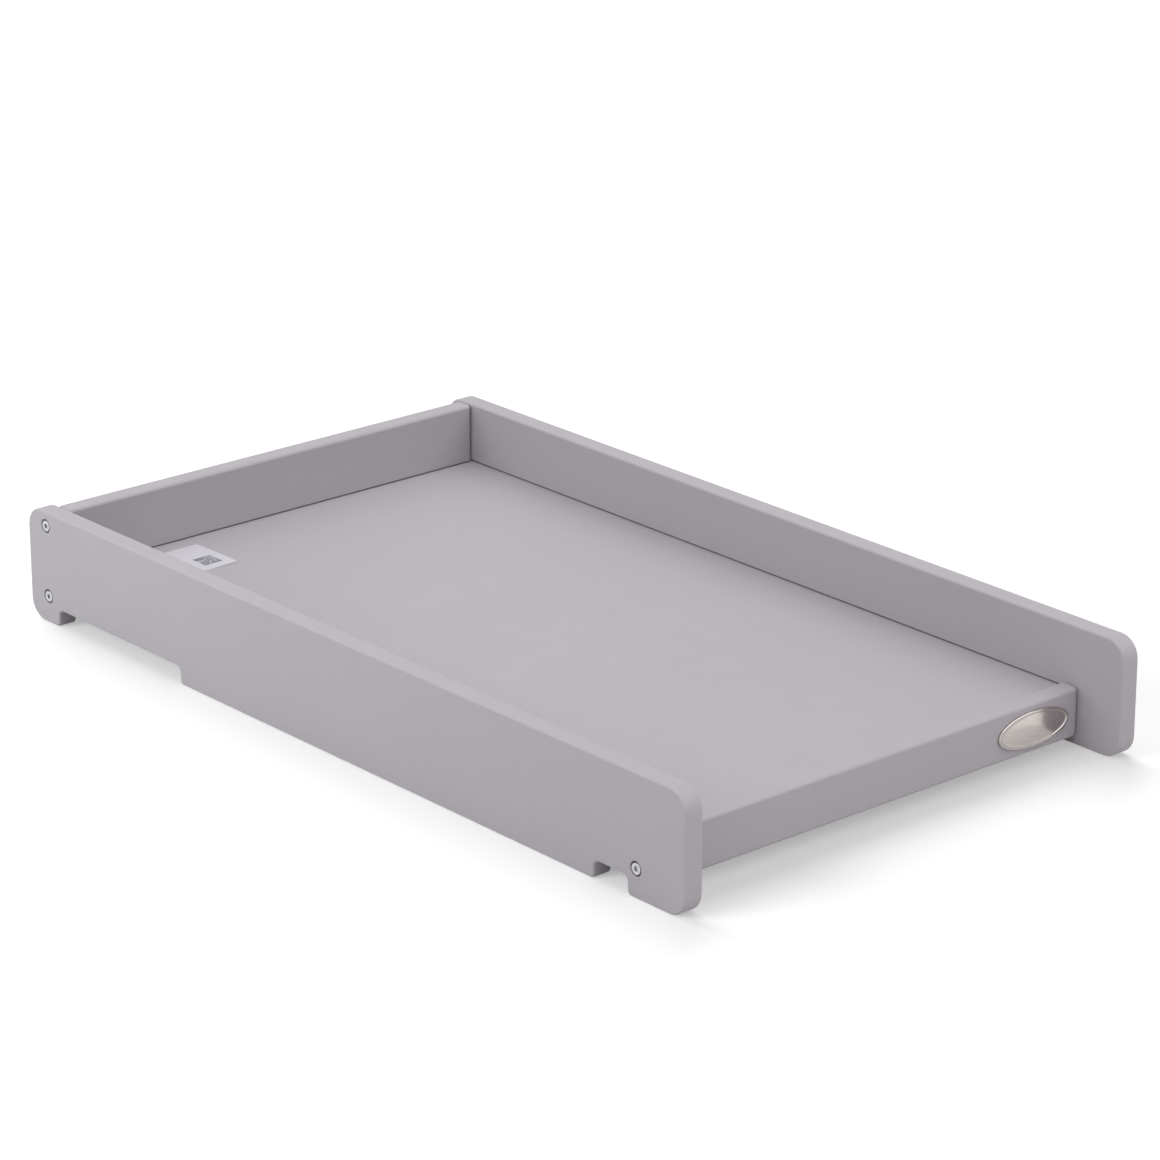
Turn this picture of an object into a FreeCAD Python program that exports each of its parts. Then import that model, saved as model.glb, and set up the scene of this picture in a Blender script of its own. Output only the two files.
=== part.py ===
import FreeCAD, Part
import Sketcher
import os

# A cot top changer: a shallow tray of painted boards that lies across the top rails of a cot.
# Two side panels stand on edge, joined by an end panel and, near the open end, by a low rail.
# The base board sits in grooves cut into all four, and bolts with barrel nuts pull the joints tight.
#
# Frame: +X runs along the side panels towards the open end, +Y from the front side panel to the
# rear one, +Z up. The origin lies on the floor, under the middle of the side panels.

# Driving dimensions in millimetres.
SIZES = {
    "overall_length": 850.0,
    "overall_width": 488.0,
    # side panels
    "panel_height": 102.0,
    "panel_thickness": 18.0,
    "panel_edge_radius": 2.0,
    "corner_radius": 18.0,
    "foot_length": 41.5,
    "recess_length": 177.5,
    "notch_width": 38.0,
    "open_foot_length": 64.5,
    "seat_depth": 15.5,
    "cutout_inner_radius": 6.0,
    "cutout_outer_radius": 4.0,
    # end panel and open end rail
    "cross_thickness": 18.0,
    "cross_edge_radius": 3.0,
    "cross_end_radius": 5.0,
    "cross_underside": 8.5,
    "end_drop": 1.0,
    "end_setback": 17.0,
    "rail_setback": 46.0,
    "rail_lip": 4.7,
    # base board and its grooves
    "base_underside": 37.3,
    "base_thickness": 9.0,
    "groove_depth": 6.0,
    "groove_top_gap": 1.4,
    "groove_end_gap": 0.5,
    # socket-head bolts and washers
    "bolt_diameter": 6.0,
    "bolt_length": 50.0,
    "bolt_chamfer": 0.8,
    "bolt_inset": 13.2,
    "bolt_hole_clearance": 1.0,
    "bolt_tip_gap": 5.0,
    "head_diameter": 10.0,
    "head_height": 4.0,
    "head_recess": 0.4,
    "head_chamfer": 0.4,
    "socket_width": 4.0,
    "socket_depth": 2.4,
    "washer_diameter": 12.0,
    "washer_thickness": 1.6,
    "washer_bore_clearance": 0.4,
    "counterbore_clearance": 0.6,
    # barrel nuts
    "nut_diameter": 10.0,
    "nut_length": 14.0,
    "nut_overrun": 9.0,
    "nut_thread_clearance": 0.2,
    "nut_hole_clearance": 0.2,
    "nut_slot_width": 1.6,
    "nut_slot_depth": 2.0,
    # dowels
    "dowel_diameter": 6.0,
    "dowel_length": 30.0,
    "dowel_panel_depth": 10.0,
    "dowel_chamfer": 0.8,
    "dowel_hole_clearance": 0.2,
    "dowel_end_gap": 0.8,
    # oval badge on the rail
    "badge_length": 80.0,
    "badge_width": 31.0,
    "badge_thickness": 2.2,
    "badge_rim_width": 2.4,
    "badge_rim_chamfer": 0.5,
    "badge_field_depth": 0.8,
    "badge_inset": 53.5,
    # paper label on the base
    "label_length": 60.0,
    "label_width": 36.0,
    "label_thickness": 0.2,
    "label_corner_radius": 2.0,
    "label_end_inset": 17.0,
    "label_side_inset": 87.2,
}

# Sizes and places that follow from the driving dimensions.
DERIVED = {
    "half_length": "overall_length / 2",
    "half_width": "overall_width / 2",
    "half_inner_width": "overall_width / 2 - panel_thickness",
    "inner_width": "overall_width - 2 * panel_thickness",
    # cut-outs along the lower edge of a side panel, from its closed end
    "recess_end": "foot_length + recess_length",
    "notch_end": "overall_length - open_foot_length",
    "notch_start": "overall_length - open_foot_length - notch_width",
    # end panel and rail, from the closed end of the side panels
    "end_joint": "end_setback + cross_thickness / 2",
    "rail_joint": "overall_length - rail_setback - cross_thickness / 2",
    "end_joint_x": "end_joint - half_length",
    "rail_joint_x": "rail_joint - half_length",
    "end_panel_x": "end_setback - half_length",
    "rail_x": "half_length - rail_setback - cross_thickness",
    "rail_outer_x": "half_length - rail_setback",
    "cross_middle": "cross_thickness / 2",
    "end_height": "panel_height - end_drop - cross_underside",
    "rail_height": "base_underside + base_thickness + rail_lip - cross_underside",
    # base board and grooves
    "base_top": "base_underside + base_thickness",
    "base_start": "end_setback + cross_thickness - groove_depth + groove_end_gap",
    "base_stop": "overall_length - rail_setback - cross_thickness + groove_depth - groove_end_gap",
    "base_half_width": "overall_width / 2 - panel_thickness + groove_depth - groove_end_gap",
    "groove_top": "base_underside + base_thickness + groove_top_gap",
    "groove_radius": "(base_thickness + groove_top_gap) / 2",
    "groove_middle": "base_underside + (base_thickness + groove_top_gap) / 2",
    "groove_start": "end_setback + cross_thickness - groove_depth",
    "groove_stop": "overall_length - rail_setback - cross_thickness + groove_depth",
    "cross_groove_bottom": "base_underside - cross_underside",
    "cross_groove_top": "base_underside + base_thickness + groove_top_gap - cross_underside",
    # bolts: the lower ones are as far below the base board as the upper ones are below the top
    "lower_bolt_height": "base_underside - bolt_inset",
    "lower_bolt_rise": "base_underside - bolt_inset - cross_underside",
    "upper_bolt_height": "panel_height - bolt_inset",
    "upper_bolt_rise": "panel_height - bolt_inset - cross_underside",
    "bolt_hole": "bolt_diameter + bolt_hole_clearance",
    "socket_corner": "socket_width / cos(30) / 2",
    "bolt_seat": "half_width - head_recess - head_height",
    "counterbore": "washer_diameter + counterbore_clearance",
    "counterbore_depth": "head_recess + head_height + washer_thickness",
    "washer_bore": "bolt_diameter + washer_bore_clearance",
    # barrel nuts: each lies across the middle of its board, short of the bolt's tip
    "nut_inset": "bolt_length + head_recess + head_height - panel_thickness - nut_overrun",
    "nut_place": "inner_width / 2 - nut_inset",
    "nut_thread": "bolt_diameter + nut_thread_clearance",
    "nut_hole": "nut_diameter + nut_hole_clearance",
    "nut_hole_depth": "(cross_thickness + nut_length) / 2",
    "nut_half_length": "nut_length / 2",
    "nut_half_slot": "nut_slot_width / 2",
    "bolt_bore_depth": "nut_inset + nut_overrun + bolt_tip_gap",
    # dowels
    "dowel_height": "(groove_top + upper_bolt_height) / 2",
    "dowel_rise": "(groove_top + upper_bolt_height) / 2 - cross_underside",
    "dowel_hole": "dowel_diameter + dowel_hole_clearance",
    "dowel_panel_hole_depth": "dowel_panel_depth + dowel_end_gap",
    "dowel_end_hole_depth": "dowel_length - dowel_panel_depth + dowel_end_gap",
    "dowel_place": "inner_width / 2 + dowel_panel_depth - dowel_length / 2",
    # badge
    "badge_field_length": "badge_length - 2 * badge_rim_width",
    "badge_field_width": "badge_width - 2 * badge_rim_width",
    "badge_place": "inner_width / 2 - badge_inset",
    "badge_height": "cross_underside + rail_height / 2",
    # label
    "label_x": "end_setback + cross_thickness + label_end_inset - half_length",
    "label_side": "half_inner_width - label_side_inset",
}

# Turns from a piece's own axes to the frame.
ON_EDGE = FreeCAD.Rotation(FreeCAD.Vector(1, 0, 0), 90)
ON_EDGE_FLIPPED = FreeCAD.Rotation(FreeCAD.Vector(1, 0, 0), -90)
ACROSS = FreeCAD.Rotation(FreeCAD.Vector(1, 1, 1), 120)
ALONG = FreeCAD.Rotation(FreeCAD.Vector(0, 1, 0), 90)
FLAT = FreeCAD.Rotation()

# Where the bolts of a side panel go: the joint along it and the height, by their cells.
BOLT_PLACES = {
    "end_upper": ("end_joint", "upper_bolt_height"),
    "end_lower": ("end_joint", "lower_bolt_height"),
    "rail": ("rail_joint", "lower_bolt_height"),
}
SOCKET_SIDES = 6
TOUCH = 1e-4

doc = FreeCAD.newDocument("cot_top_changer")
pieces = []


def fill_sheet():
    """Writes the driving dimensions as plain numbers and the derived ones as formulas, with aliases."""
    cells = doc.addObject("Spreadsheet::Sheet", "sizes")
    entries = [(name, str(value)) for name, value in SIZES.items()]
    entries += [(name, "=" + formula) for name, formula in DERIVED.items()]
    for row, (name, content) in enumerate(entries, start=1):
        cells.set(f"A{row}", name)
        cells.set(f"B{row}", content)
        cells.setAlias(f"B{row}", name)
    doc.recompute()
    return cells


sheet = fill_sheet()


def cell(name):
    """Expression for a cell; a leading minus turns its sign."""
    if name.startswith("-"):
        return "-sizes." + name[1:]
    return "sizes." + name


def number(name):
    """Present value of a cell in millimetres; zero stands for the axis itself."""
    if name == "zero":
        return 0.0
    sign = -1.0 if name.startswith("-") else 1.0
    return sign * float(sheet.get(name.lstrip("-")))


def new_body(label, turn, x="zero", y="zero", z="zero"):
    """A body with its label and its place in the frame, each coordinate bound to a cell."""
    body = doc.addObject("PartDesign::Body", label)
    body.Label = label
    body.Placement = FreeCAD.Placement(FreeCAD.Vector(number(x), number(y), number(z)), turn)
    for axis, name in (("x", x), ("y", y), ("z", z)):
        if name != "zero":
            body.setExpression("Placement.Base." + axis, cell(name))
    pieces.append(body)
    return body


def new_sketch(body, name, role, height="zero"):
    """A sketch on one of the body's own origin planes, lifted along its normal by a cell."""
    sketch = body.newObject("Sketcher::SketchObject", name)
    plane = next(item for item in body.Origin.OriginFeatures if item.Role == role)
    sketch.AttachmentSupport = [(plane, "")]
    sketch.MapMode = "FlatFace"
    if height != "zero":
        sketch.setExpression("AttachmentOffset.Base.z", cell(height))
    return sketch


def hold(sketch, kind, *where, name):
    """Adds a dimension to the sketch and binds it to a cell."""
    index = sketch.addConstraint(Sketcher.Constraint(kind, *where, number(name)))
    if name != "zero":
        sketch.setExpression(f"Constraints[{index}]", cell(name))


def place_point(sketch, shape, point, x, y):
    """Holds one point of a shape at cells x and y, measured from the sketch's origin."""
    hold(sketch, "DistanceX", -1, 1, shape, point, name=x)
    hold(sketch, "DistanceY", -1, 1, shape, point, name=y)


def draw_outline(sketch, corners):
    """Draws a closed outline of level and upright lines, anticlockwise, with arcs in its corners.

    Each corner is (x, y, radius) by the names of cells; a corner without a radius stays sharp.
    """
    points = [FreeCAD.Vector(number(x), number(y), 0) for x, y, _ in corners]
    radii = [number(radius) if radius else 0.0 for _, _, radius in corners]
    total = len(corners)
    ways = [(points[(i + 1) % total] - points[i]).normalize() for i in range(total)]
    lines = []
    for i in range(total):
        after = (i + 1) % total
        start = points[i] + ways[i] * radii[i]
        stop = points[after] - ways[i] * radii[after]
        lines.append(sketch.addGeometry(Part.LineSegment(start, stop), False))
    for i, (x, y, radius) in enumerate(corners):
        level = abs(ways[i].y) < abs(ways[i].x)
        sketch.addConstraint(Sketcher.Constraint("Horizontal" if level else "Vertical", lines[i]))
        if level:
            hold(sketch, "DistanceY", -1, 1, lines[i], 1, name=y)
        else:
            hold(sketch, "DistanceX", -1, 1, lines[i], 1, name=x)
        if not radius:
            sketch.addConstraint(Sketcher.Constraint("Coincident", lines[i - 1], 2, lines[i], 1))
            continue
        turns_left = ways[i - 1].cross(ways[i]).z > 0
        arrive = points[i] - ways[i - 1] * radii[i]
        leave = points[i] + ways[i] * radii[i]
        centre = arrive + ways[i] * radii[i]
        middle = centre + (points[i] - centre).normalize() * radii[i]
        ends = (arrive, leave) if turns_left else (leave, arrive)
        arc = sketch.addGeometry(Part.Arc(ends[0], middle, ends[1]), False)
        first, last = (1, 2) if turns_left else (2, 1)
        sketch.addConstraint(Sketcher.Constraint("Tangent", lines[i - 1], 2, arc, first))
        sketch.addConstraint(Sketcher.Constraint("Tangent", arc, last, lines[i], 1))
        hold(sketch, "Radius", arc, name=radius)


def draw_circle(sketch, x, y, diameter):
    """Draws a circle whose centre and diameter are cells."""
    centre = FreeCAD.Vector(number(x), number(y), 0)
    up = FreeCAD.Vector(0, 0, 1)
    circle = sketch.addGeometry(Part.Circle(centre, up, number(diameter) / 2), False)
    place_point(sketch, circle, 3, x, y)
    hold(sketch, "Diameter", circle, name=diameter)


def draw_slot(sketch, start, stop, level, radius):
    """Draws a level slot with half-round ends centred at x = start and x = stop."""
    y = number(level)
    reach = number(radius)
    left = FreeCAD.Vector(number(start), y, 0)
    right = FreeCAD.Vector(number(stop), y, 0)
    up = FreeCAD.Vector(0, reach, 0)
    out = FreeCAD.Vector(reach, 0, 0)
    lower = sketch.addGeometry(Part.LineSegment(left - up, right - up), False)
    right_end = sketch.addGeometry(Part.Arc(right - up, right + out, right + up), False)
    upper = sketch.addGeometry(Part.LineSegment(right + up, left + up), False)
    left_end = sketch.addGeometry(Part.Arc(left + up, left - out, left - up), False)
    ring = (lower, right_end, upper, left_end)
    for before, after in zip(ring, ring[1:] + ring[:1]):
        sketch.addConstraint(Sketcher.Constraint("Tangent", before, 2, after, 1))
    place_point(sketch, left_end, 3, start, level)
    place_point(sketch, right_end, 3, stop, level)
    hold(sketch, "Radius", left_end, name=radius)
    hold(sketch, "Radius", right_end, name=radius)


def draw_hexagon(sketch, corner):
    """Draws a regular hexagon about the origin, its corners on a circle of that radius."""
    reach = number(corner)
    step = FreeCAD.Rotation(FreeCAD.Vector(0, 0, 1), 360 / SOCKET_SIDES)
    ends = [FreeCAD.Vector(reach, 0, 0)]
    for _ in range(SOCKET_SIDES):
        ends.append(step.multVec(ends[-1]))
    sides = [sketch.addGeometry(Part.LineSegment(a, b), False) for a, b in zip(ends, ends[1:])]
    ring = sketch.addGeometry(Part.Circle(FreeCAD.Vector(), FreeCAD.Vector(0, 0, 1), reach), True)
    sketch.addConstraint(Sketcher.Constraint("Coincident", ring, 3, -1, 1))
    hold(sketch, "Radius", ring, name=corner)
    for i, side in enumerate(sides):
        sketch.addConstraint(Sketcher.Constraint("Coincident", sides[i - 1], 2, side, 1))
        sketch.addConstraint(Sketcher.Constraint("PointOnObject", side, 1, ring))
        if i:
            sketch.addConstraint(Sketcher.Constraint("Equal", sides[0], side))
    sketch.addConstraint(Sketcher.Constraint("PointOnObject", sides[0], 1, -1))


def draw_ellipse(sketch, length, width):
    """Draws an ellipse about the origin, its long axis level."""
    long_end = FreeCAD.Vector(number(length) / 2, 0, 0)
    short_end = FreeCAD.Vector(0, number(width) / 2, 0)
    ellipse = sketch.addGeometry(Part.Ellipse(long_end, short_end, FreeCAD.Vector()), False)
    sketch.exposeInternalGeometry(ellipse)
    long_axis = ellipse + 1
    short_axis = ellipse + 2
    sketch.addConstraint(Sketcher.Constraint("Coincident", ellipse, 3, -1, 1))
    sketch.addConstraint(Sketcher.Constraint("Horizontal", long_axis))
    hold(sketch, "Distance", long_axis, name=length)
    hold(sketch, "Distance", short_axis, name=width)


def add_pad(body, sketch, length, backwards=False, both_ways=False):
    """Pads a sketch to a length."""
    pad = body.newObject("PartDesign::Pad", "pad")
    pad.Profile = sketch
    pad.setExpression("Length", cell(length))
    pad.Reversed = backwards
    pad.Midplane = both_ways
    doc.recompute()
    return pad


def check_cut(body, before):
    """Stops the build if the last cut took nothing away."""
    doc.recompute()
    if body.Shape.Volume > before - TOUCH:
        raise RuntimeError(f"{body.Label}: {body.Tip.Label} cuts nothing")


def add_pocket(body, sketch, depth, upwards=False):
    """Cuts a sketch to a depth, or both ways right through where no depth is given."""
    before = body.Shape.Volume
    pocket = body.newObject("PartDesign::Pocket", "pocket")
    pocket.Profile = sketch
    pocket.Reversed = upwards
    if depth:
        pocket.setExpression("Length", cell(depth))
    else:
        pocket.Type = "ThroughAll"
        pocket.Midplane = True
    check_cut(body, before)
    return pocket


def add_holes(body, sketch, diameter, depth, upwards=False, cut=None):
    """Drills a hole at each circle of a sketch; cut is the diameter and depth of a counterbore."""
    before = body.Shape.Volume
    doc.recompute()
    hole = body.newObject("PartDesign::Hole", "hole")
    hole.Profile = sketch
    hole.DrillPoint = "Flat"
    hole.setExpression("Diameter", cell(diameter))
    hole.Reversed = upwards
    if depth:
        hole.DepthType = "Dimension"
        hole.setExpression("Depth", cell(depth))
    else:
        hole.DepthType = "ThroughAll"
    if cut:
        hole.HoleCutType = "Counterbore"
        hole.HoleCutCustomValues = True
        hole.setExpression("HoleCutDiameter", cell(cut[0]))
        hole.setExpression("HoleCutDepth", cell(cut[1]))
    check_cut(body, before)
    return hole


def ease_edges(body, kind, size, chosen):
    """Rounds or chamfers the chosen edges of the body's present shape."""
    base = body.Tip
    names = [f"Edge{i}" for i, edge in enumerate(base.Shape.Edges, start=1) if chosen(edge)]
    feature = body.newObject("PartDesign::" + kind, kind.lower())
    feature.Base = (base, names)
    feature.setExpression("Radius" if kind == "Fillet" else "Size", cell(size))
    doc.recompute()


def mirror_ends(body, features):
    """Repeats features at the other end of a piece that is centred on its own YZ plane."""
    mirror = body.newObject("PartDesign::Mirrored", "mirror")
    mirror.Originals = features
    plane = next(item for item in body.Origin.OriginFeatures if item.Role == "YZ_Plane")
    mirror.MirrorPlane = (plane, [""])
    body.Tip = mirror
    doc.recompute()


def on_level(edge, height):
    """True for an edge that lies wholly at one height of the piece's own Z."""
    box = edge.BoundBox
    return abs(box.ZMin - height) < TOUCH and abs(box.ZMax - height) < TOUCH


def make_side_panel(label, outer_up, y):
    """A side panel lying on its face: X along it from the closed end, Y up its height.

    The outer face has the counterbored bolt holes, the inner one a stopped groove for the base
    board and a blind hole for the dowel. outer_up says whether the outer face is the upper one.
    """
    body = new_body(label, ON_EDGE, "-half_length", y)
    outer = "panel_thickness" if outer_up else "zero"
    inner = "zero" if outer_up else "panel_thickness"
    inside = "cutout_inner_radius"
    outside = "cutout_outer_radius"

    profile = new_sketch(body, "profile", "XY_Plane")
    draw_outline(profile, [
        ("zero", "zero", "corner_radius"),
        ("foot_length", "zero", outside),
        ("foot_length", "seat_depth", inside),
        ("recess_end", "seat_depth", inside),
        ("recess_end", "zero", outside),
        ("notch_start", "zero", outside),
        ("notch_start", "seat_depth", inside),
        ("notch_end", "seat_depth", inside),
        ("notch_end", "zero", outside),
        ("overall_length", "zero", "corner_radius"),
        ("overall_length", "panel_height", "corner_radius"),
        ("zero", "panel_height", "corner_radius"),
    ])
    add_pad(body, profile, "panel_thickness")
    faces = (0.0, number("panel_thickness"))
    ease_edges(body, "Fillet", "panel_edge_radius",
               lambda edge: any(on_level(edge, height) for height in faces))

    bolts = new_sketch(body, "bolt_places", "XY_Plane", outer)
    for x, height in BOLT_PLACES.values():
        draw_circle(bolts, x, height, "bolt_hole")
    add_holes(body, bolts, "bolt_hole", None, not outer_up, ("counterbore", "counterbore_depth"))

    groove = new_sketch(body, "groove", "XY_Plane", inner)
    draw_slot(groove, "groove_start", "groove_stop", "groove_middle", "groove_radius")
    add_pocket(body, groove, "groove_depth", outer_up)

    dowel = new_sketch(body, "dowel_place", "XY_Plane", inner)
    draw_circle(dowel, "end_joint", "dowel_height", "dowel_hole")
    add_holes(body, dowel, "dowel_hole", "dowel_panel_hole_depth", outer_up)


def make_cross_piece(label, x, height, bolt_rises, groove_up, dowelled):
    """An end panel or rail lying on its face: X along it from the middle, Y up its height.

    Its lower face turns to the closed end and takes the barrel nuts. The groove for the base board
    runs along the upper face (groove_up) or the lower one, and bolts enter at both ends.
    """
    body = new_body(label, ACROSS, x, "zero", "cross_underside")
    profile = new_sketch(body, "profile", "XY_Plane")
    draw_outline(profile, [
        ("-half_inner_width", "zero", None),
        ("half_inner_width", "zero", None),
        ("half_inner_width", height, None),
        ("-half_inner_width", height, None),
    ])
    add_pad(body, profile, "cross_thickness")
    ease_edges(body, "Fillet", "cross_end_radius", lambda edge: edge.BoundBox.YLength > TOUCH)
    ease_edges(body, "Fillet", "cross_edge_radius", lambda edge: edge.BoundBox.YLength < TOUCH)

    groove = new_sketch(body, "groove", "XY_Plane", "cross_thickness" if groove_up else "zero")
    draw_outline(groove, [
        ("-half_width", "cross_groove_bottom", None),
        ("half_width", "cross_groove_bottom", None),
        ("half_width", "cross_groove_top", None),
        ("-half_width", "cross_groove_top", None),
    ])
    add_pocket(body, groove, "groove_depth", not groove_up)

    bores = new_sketch(body, "bolt_bores", "YZ_Plane", "half_inner_width")
    nuts = new_sketch(body, "nut_places", "XY_Plane")
    for rise in bolt_rises:
        draw_circle(bores, rise, "cross_middle", "bolt_hole")
        draw_circle(nuts, "nut_place", rise, "nut_hole")
    drilled = [add_holes(body, bores, "bolt_hole", "bolt_bore_depth"),
               add_holes(body, nuts, "nut_hole", "nut_hole_depth", True)]
    if dowelled:
        dowel = new_sketch(body, "dowel_place", "YZ_Plane", "half_inner_width")
        draw_circle(dowel, "dowel_rise", "cross_middle", "dowel_hole")
        drilled.append(add_holes(body, dowel, "dowel_hole", "dowel_end_hole_depth"))
    mirror_ends(body, drilled)


def make_base_board():
    """The board that the mat lies on, its edges in the four grooves."""
    body = new_body("base_board", FLAT, "-half_length", "zero", "base_underside")
    profile = new_sketch(body, "profile", "XY_Plane")
    draw_outline(profile, [
        ("base_start", "-base_half_width", None),
        ("base_stop", "-base_half_width", None),
        ("base_stop", "base_half_width", None),
        ("base_start", "base_half_width", None),
    ])
    add_pad(body, profile, "base_thickness")


def make_bolt(label, turn, x, y, z):
    """A socket-head bolt along its own Z: head above the seat at zero, shank below it."""
    body = new_body(label, turn, x, y, z)
    head = new_sketch(body, "head", "XY_Plane")
    draw_circle(head, "zero", "zero", "head_diameter")
    add_pad(body, head, "head_height")
    shank = new_sketch(body, "shank", "XY_Plane")
    draw_circle(shank, "zero", "zero", "bolt_diameter")
    add_pad(body, shank, "bolt_length", backwards=True)
    crown = number("head_height")
    tip = -number("bolt_length")
    ease_edges(body, "Chamfer", "head_chamfer", lambda edge: on_level(edge, crown))
    ease_edges(body, "Chamfer", "bolt_chamfer", lambda edge: on_level(edge, tip))
    socket = new_sketch(body, "socket", "XY_Plane", "head_height")
    draw_hexagon(socket, "socket_corner")
    add_pocket(body, socket, "socket_depth")


def make_washer(label, turn, x, y, z):
    """A flat washer below its own zero, where the bolt's head seats."""
    body = new_body(label, turn, x, y, z)
    ring = new_sketch(body, "ring", "XY_Plane")
    draw_circle(ring, "zero", "zero", "washer_diameter")
    draw_circle(ring, "zero", "zero", "washer_bore")
    add_pad(body, ring, "washer_thickness", backwards=True)


def make_barrel_nut(label, x, y, z):
    """A barrel nut along its own Z, threaded across the middle, with a screwdriver slot below."""
    body = new_body(label, ALONG, x, y, z)
    barrel = new_sketch(body, "barrel", "XY_Plane")
    draw_circle(barrel, "zero", "zero", "nut_diameter")
    add_pad(body, barrel, "nut_length", both_ways=True)
    thread = new_sketch(body, "thread", "XZ_Plane")
    draw_circle(thread, "zero", "zero", "nut_thread")
    add_pocket(body, thread, None)
    slot = new_sketch(body, "slot", "XY_Plane", "-nut_half_length")
    draw_outline(slot, [
        ("-nut_diameter", "-nut_half_slot", None),
        ("nut_diameter", "-nut_half_slot", None),
        ("nut_diameter", "nut_half_slot", None),
        ("-nut_diameter", "nut_half_slot", None),
    ])
    add_pocket(body, slot, "nut_slot_depth", True)


def make_dowel(label, y):
    """A dowel across the joint of the end panel and a side panel, centred on its own length."""
    body = new_body(label, ON_EDGE, "end_joint_x", y, "dowel_height")
    section = new_sketch(body, "section", "XY_Plane")
    draw_circle(section, "zero", "zero", "dowel_diameter")
    add_pad(body, section, "dowel_length", both_ways=True)
    ends = (-number("dowel_length") / 2, number("dowel_length") / 2)
    ease_edges(body, "Chamfer", "dowel_chamfer",
               lambda edge: any(on_level(edge, height) for height in ends))


def make_badge():
    """An oval plate on the rail's outer face: a raised rim round a sunk field."""
    body = new_body("oval_badge", ACROSS, "rail_outer_x", "badge_place", "badge_height")
    plate = new_sketch(body, "plate", "XY_Plane")
    draw_ellipse(plate, "badge_length", "badge_width")
    add_pad(body, plate, "badge_thickness")
    field = new_sketch(body, "field", "XY_Plane", "badge_thickness")
    draw_ellipse(field, "badge_field_length", "badge_field_width")
    add_pocket(body, field, "badge_field_depth")
    rim = number("badge_thickness")
    ease_edges(body, "Chamfer", "badge_rim_chamfer", lambda edge: on_level(edge, rim))


def make_label():
    """A plain paper label on the base board, near the closed end."""
    body = new_body("paper_label", FLAT, "label_x", "-label_side", "base_top")
    profile = new_sketch(body, "profile", "XY_Plane")
    draw_outline(profile, [
        ("zero", "zero", "label_corner_radius"),
        ("label_length", "zero", "label_corner_radius"),
        ("label_length", "label_width", "label_corner_radius"),
        ("zero", "label_width", "label_corner_radius"),
    ])
    add_pad(body, profile, "label_thickness")


def write_parts():
    """Checks every object and each piece's solid, then writes one file per piece."""
    doc.recompute()
    for item in doc.Objects:
        if "Invalid" in item.State or "Error" in item.State:
            raise RuntimeError(f"{item.Label}: {item.State}")
    for body in pieces:
        if body.Shape.isNull() or not body.Shape.isValid() or len(body.Shape.Solids) != 1:
            raise RuntimeError(f"{body.Label}: no valid solid")
    os.makedirs("parts", exist_ok=True)
    for body in pieces:
        body.Shape.exportStep(f"parts/{body.Label}.step")
        print(f"{body.Label}: {body.Shape.Volume:.1f} mm3, {len(body.Shape.Faces)} faces")


def main():
    """Builds the boards, then the fasteners of each joint, then the badge and the label."""
    make_side_panel("front_side_panel", True, "-half_inner_width")
    make_side_panel("rear_side_panel", False, "half_width")
    both_rises = ("lower_bolt_rise", "upper_bolt_rise")
    make_cross_piece("end_panel", "end_panel_x", "end_height", both_rises, True, True)
    make_cross_piece("open_end_rail", "rail_x", "rail_height", both_rises[:1], False, False)
    make_base_board()
    for side, turn, sign in (("front", ON_EDGE, "-"), ("rear", ON_EDGE_FLIPPED, "")):
        for place, (joint, height) in BOLT_PLACES.items():
            where = f"{side}_{place}"
            x = joint + "_x"
            make_bolt("bolt_" + where, turn, x, sign + "bolt_seat", height)
            make_washer("washer_" + where, turn, x, sign + "bolt_seat", height)
            make_barrel_nut("barrel_nut_" + where, x, sign + "nut_place", height)
        make_dowel("dowel_" + side, sign + "dowel_place")
    make_badge()
    make_label()
    write_parts()


main()
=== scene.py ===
"""Looks of a cot top changer: painted boards, steel fittings, a bare oval badge and a paper label."""

import math

import bmesh
import bpy
import numpy as np
from bpy.props import FloatProperty, FloatVectorProperty, IntProperty, PointerProperty
from bpy.types import Operator, Panel, PropertyGroup
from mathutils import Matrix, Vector
from mathutils.geometry import delaunay_2d_cdt


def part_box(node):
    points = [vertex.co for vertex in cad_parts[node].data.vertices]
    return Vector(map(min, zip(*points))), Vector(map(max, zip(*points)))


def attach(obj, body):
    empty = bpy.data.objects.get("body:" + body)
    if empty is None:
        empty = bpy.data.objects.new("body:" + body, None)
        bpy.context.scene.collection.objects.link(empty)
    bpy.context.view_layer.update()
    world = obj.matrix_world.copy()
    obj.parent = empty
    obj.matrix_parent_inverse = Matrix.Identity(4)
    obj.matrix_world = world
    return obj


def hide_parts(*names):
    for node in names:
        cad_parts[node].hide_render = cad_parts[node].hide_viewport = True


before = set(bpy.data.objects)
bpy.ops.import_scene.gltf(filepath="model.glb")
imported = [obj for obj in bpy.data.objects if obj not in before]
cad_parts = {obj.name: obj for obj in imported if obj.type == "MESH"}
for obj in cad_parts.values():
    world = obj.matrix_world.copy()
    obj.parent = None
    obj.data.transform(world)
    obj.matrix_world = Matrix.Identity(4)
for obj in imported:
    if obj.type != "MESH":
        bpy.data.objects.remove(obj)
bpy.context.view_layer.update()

bl_info = {
    "name": "Cot Top Changer",
    "version": (1, 0, 0),
    "blender": (4, 5, 0),
    "location": "View3D > Sidebar > Changer",
    "description": "Dresses the boards, fittings, badge and label of a cot top changer and sets its stage",
    "category": "Object",
}

BODY = "root"
MM = 0.001

# Names of the two long sides and of the bolted joints along each of them.
SIDES = ("front", "rear")
JOINTS = ("end_upper", "end_lower", "rail")
BOLTED = tuple((side, joint) for side in SIDES for joint in JOINTS)

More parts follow.
